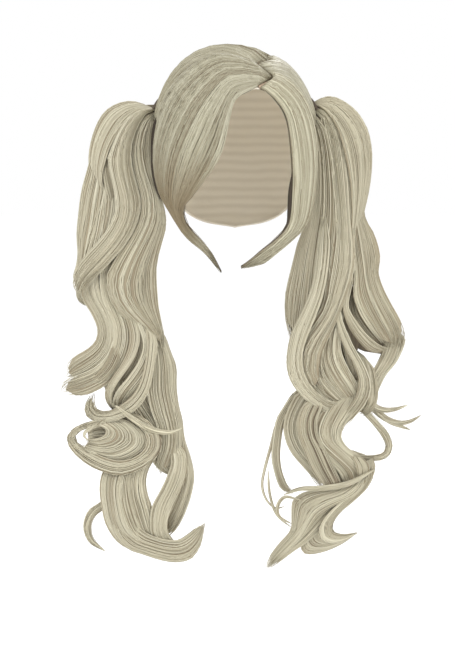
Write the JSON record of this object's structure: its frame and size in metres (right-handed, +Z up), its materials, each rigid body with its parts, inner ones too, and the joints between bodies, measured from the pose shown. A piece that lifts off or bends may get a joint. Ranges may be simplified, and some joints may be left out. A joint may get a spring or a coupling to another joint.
{
  "type": "pigtail wig",
  "caption": "Ash-blonde wig with a zigzag side parting, swept fringe, one loose side lock and two high wavy pigtails with curled ends.",
  "frame": {"origin": "where the top of the wearer's head touches the inside of the cap", "axes": "+Z up the wearer's head, the face opening towards -Y, +X to the wearer's left"},
  "size_m": [0.3744, 0.208, 0.5409],
  "materials": {
    "net_cap": "matte net with sewn hair wefts",
    "parting_skin": "matte skin-coloured strip",
    "crown_hair": "satin combed synthetic hair",
    "back_hair": "satin combed synthetic hair",
    "fringe_hair": "satin loose synthetic hair",
    "tail_hair": "satin wavy synthetic hair",
    "elastic": "matte plain elastic"
  },
  "bodies": {
    "root": {"wig_cap": "net_cap", "parting_strip": "parting_skin", "crown_hair_right": "crown_hair", "crown_hair_left": "crown_hair", "back_hair_right": "back_hair", "back_hair_left": "back_hair", "fringe": "fringe_hair", "side_lock": "fringe_hair", "hair_tie_right": "elastic", "hair_tie_left": "elastic", "pigtail_right": "tail_hair", "pigtail_left": "tail_hair"}
  },
  "joints": []
}
